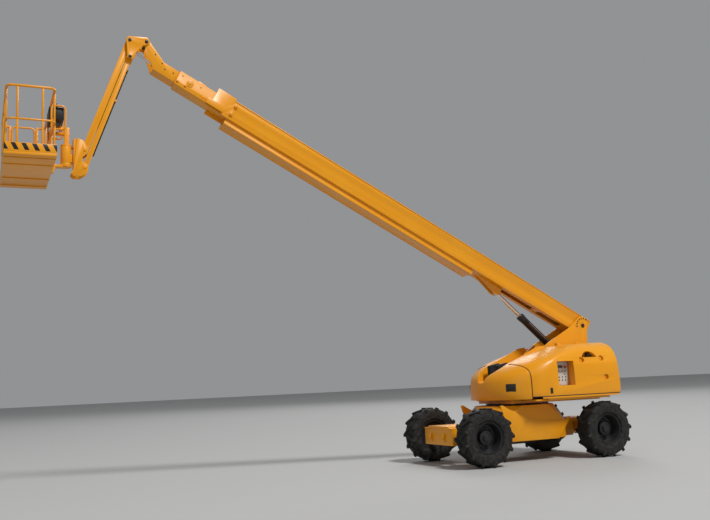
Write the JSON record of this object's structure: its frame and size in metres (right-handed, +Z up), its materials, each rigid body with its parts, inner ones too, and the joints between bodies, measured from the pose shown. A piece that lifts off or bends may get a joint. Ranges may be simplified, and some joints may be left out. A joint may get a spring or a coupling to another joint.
{
  "type": "telescopic boom lift",
  "caption": "Self-propelled telescopic boom lift: four-wheel chassis, slewing turret with moulded hoods, three-section boom, parallelogram jib and railed work platform.",
  "frame": {"origin": "on the ground under the slewing axis, midway between the axles", "axes": "+X towards the steered axle, +Y to the left side, +Z up"},
  "size_m": [11.7733, 2.465, 7.993],
  "materials": {
    "body_paint": "glossy orange-yellow enamel",
    "dark_steel": "satin black paint",
    "tyre_rubber": "matte, dusty",
    "cast_weight": "painted casting",
    "chrome_rod": "polished",
    "panel_grey": "satin"
  },
  "bodies": {
    "chassis": {"chassis_frame": "body_paint", "slew_ring": "dark_steel", "front_axle": "body_paint", "rear_axle": "body_paint", "transmission": "dark_steel"},
    "steer_left": {"knuckle_left": "dark_steel"},
    "steer_right": {"knuckle_right": "dark_steel"},
    "track_rod": {"tie_rod": "dark_steel"},
    "turret": {"turret_frame": "body_paint", "counterweight": "cast_weight", "nose_cover_left": "body_paint", "nose_cover_right": "body_paint", "ground_controls": "panel_grey", "engine": "cast_weight", "boom_rest": "tyre_rubber", "trough_walls": "body_paint", "pivot_pin": "dark_steel", "lift_foot_pin": "dark_steel"},
    "door_left": {"hood_left": "body_paint"},
    "door_right": {"hood_right": "body_paint"},
    "lift_barrel_body": {"lift_barrel": "dark_steel"},
    "lift_rod_body": {"lift_rod": "chrome_rod"},
    "boom_base": {"base_boom": "body_paint"},
    "boom_mid": {"mid_boom": "body_paint"},
    "boom_fly": {"fly_boom": "body_paint", "leveling_barrel": "body_paint", "knuckle_pin": "dark_steel"},
    "knuckle_body": {"knuckle_plates": "body_paint"},
    "leveling_rod_body": {"leveling_rod": "chrome_rod"},
    "jib_upper": {"jib_arm": "body_paint"},
    "jib_lower": {"jib_link": "body_paint"},
    "jib_barrel_body": {"jib_barrel": "dark_steel"},
    "jib_rod_body": {"jib_rod": "chrome_rod"},
    "support": {"platform_support": "body_paint"},
    "platform": {"platform_arm": "body_paint", "platform_floor": "body_paint", "platform_rails": "body_paint", "console": "panel_grey"},
    "gate": {"platform_gate": "body_paint"},
    "wheel_front_left": {"tyre_front_left": "tyre_rubber", "rim_front_left": "dark_steel"},
    "wheel_front_right": {"tyre_front_right": "tyre_rubber", "rim_front_right": "dark_steel"},
    "wheel_rear_left": {"tyre_rear_left": "tyre_rubber", "rim_rear_left": "dark_steel"},
    "wheel_rear_right": {"tyre_rear_right": "tyre_rubber", "rim_rear_right": "dark_steel"}
  },
  "joints": [
    {"name": "steer_left_joint", "type": "hinge", "parent": "chassis", "child": "steer_left", "pos_m": [1.4, 0.8, 0.55], "axis": [0, 0, 1], "range_deg": [-30, 30]},
    {"name": "steer_right_joint", "type": "hinge", "parent": "chassis", "child": "steer_right", "pos_m": [1.4, -0.8, 0.55], "axis": [0, 0, 1], "range_deg": [-30, 30]},
    {"name": "track_rod_slide", "type": "slide", "parent": "chassis", "child": "track_rod", "axis": [0, -1, 0], "range_m": [-0.085, 0.085]},
    {"name": "wheel_front_left_spin", "type": "hinge", "parent": "steer_left", "child": "wheel_front_left", "pos_m": [1.4, 1.0325, 0.55], "axis": [0, 1, 0], "continuous": true},
    {"name": "wheel_front_right_spin", "type": "hinge", "parent": "steer_right", "child": "wheel_front_right", "pos_m": [1.4, -1.0325, 0.55], "axis": [0, 1, 0], "continuous": true},
    {"name": "wheel_rear_left_spin", "type": "hinge", "parent": "chassis", "child": "wheel_rear_left", "pos_m": [-1.4, 1.0325, 0.55], "axis": [0, 1, 0], "continuous": true},
    {"name": "wheel_rear_right_spin", "type": "hinge", "parent": "chassis", "child": "wheel_rear_right", "pos_m": [-1.4, -1.0325, 0.55], "axis": [0, 1, 0], "continuous": true},
    {"name": "turret_slew", "type": "hinge", "parent": "chassis", "child": "turret", "pos_m": [0, 0, 1.085], "axis": [0, 0, 1], "continuous": true},
    {"name": "hood_left_hinge", "type": "hinge", "parent": "turret", "child": "door_left", "pos_m": [-1.2, 0.4, 2.29], "axis": [1, 0, 0], "range_deg": [0, 65]},
    {"name": "hood_right_hinge", "type": "hinge", "parent": "turret", "child": "door_right", "pos_m": [-1.2, -0.4, 2.29], "axis": [-1, 0, 0], "range_deg": [0, 65]},
    {"name": "boom_lift", "type": "hinge", "parent": "turret", "child": "boom_base", "pos_m": [-1.74, 0, 2.67], "axis": [0, -1, 0], "range_deg": [-40.3, 46.7]},
    {"name": "lift_barrel_hinge", "type": "hinge", "parent": "turret", "child": "lift_barrel_body", "pos_m": [-1.67036, 0, 1.71036], "axis": [0, -1, 0], "range_deg": [-30.83, 35.73]},
    {"name": "lift_rod_slide", "type": "slide", "parent": "lift_barrel_body", "child": "lift_rod_body", "axis": [0.7501, 0, 0.6613], "range_m": [-0.626, 0.72541]},
    {"name": "boom_extend", "type": "slide", "parent": "boom_base", "child": "boom_mid", "axis": [0.8805, 0, 0.4741], "range_m": [0, 5]},
    {"name": "fly_extend", "type": "slide", "parent": "boom_mid", "child": "boom_fly", "axis": [0.8805, 0, 0.4741], "range_m": [0, 5]},
    {"name": "knuckle_level", "type": "hinge", "parent": "boom_fly", "child": "knuckle_body", "pos_m": [7.40701, 0, 7.9143], "axis": [0, 1, 0], "range_deg": [-40.3, 46.7]},
    {"name": "leveling_rod_slide", "type": "slide", "parent": "boom_fly", "child": "leveling_rod_body", "axis": [0.8424, 0, 0.5389], "range_m": [-0.17155, 0.14804]},
    {"name": "jib_swing", "type": "hinge", "parent": "knuckle_body", "child": "jib_upper", "pos_m": [7.70201, 0, 7.9133], "axis": [0, 1, 0], "range_deg": [-139.6, 0]},
    {"name": "jib_link_hinge", "type": "hinge", "parent": "knuckle_body", "child": "jib_lower", "pos_m": [7.70201, 0, 7.6033], "axis": [0, 1, 0], "range_deg": [-139.6, 0]},
    {"name": "jib_barrel_hinge", "type": "hinge", "parent": "knuckle_body", "child": "jib_barrel_body", "pos_m": [7.70201, 0, 7.6033], "axis": [0, 1, 0], "range_deg": [-138.85, 0]},
    {"name": "jib_rod_slide", "type": "slide", "parent": "jib_barrel_body", "child": "jib_rod_body", "axis": [-0.3972, 0, 0.9177], "range_m": [-0.58117, 0]},
    {"name": "support_level", "type": "hinge", "parent": "jib_upper", "child": "support", "pos_m": [8.4634, 0, 5.84393], "axis": [0, -1, 0], "range_deg": [-139.6, 0]},
    {"name": "platform_turn", "type": "hinge", "parent": "support", "child": "platform", "pos_m": [8.765, 0, 5.75], "axis": [0, 0, 1], "range_deg": [-90, 90]},
    {"name": "gate_hinge", "type": "hinge", "parent": "platform", "child": "gate", "pos_m": [9.212, -1.12, 5.99], "axis": [0, 0, 1], "range_deg": [0, 90]}
  ],
  "couplings": [
    {"joint": "steer_right_joint", "follows": "steer_left_joint", "ratio": 1},
    {"joint": "track_rod_slide", "follows": "steer_left_joint", "m_per_rad": 0.16234},
    {"joint": "lift_barrel_hinge", "follows": "boom_lift", "ratio": 0.765},
    {"joint": "lift_rod_slide", "follows": "boom_lift", "m_per_rad": 0.89},
    {"joint": "fly_extend", "follows": "boom_extend", "ratio": 1},
    {"joint": "knuckle_level", "follows": "boom_lift", "ratio": 1},
    {"joint": "leveling_rod_slide", "follows": "boom_lift", "m_per_rad": -0.21047},
    {"joint": "jib_link_hinge", "follows": "jib_swing", "ratio": 1},
    {"joint": "jib_barrel_hinge", "follows": "jib_swing", "ratio": 0.99466},
    {"joint": "jib_rod_slide", "follows": "jib_swing", "m_per_rad": 0.23853},
    {"joint": "support_level", "follows": "jib_swing", "ratio": 1}
  ]
}
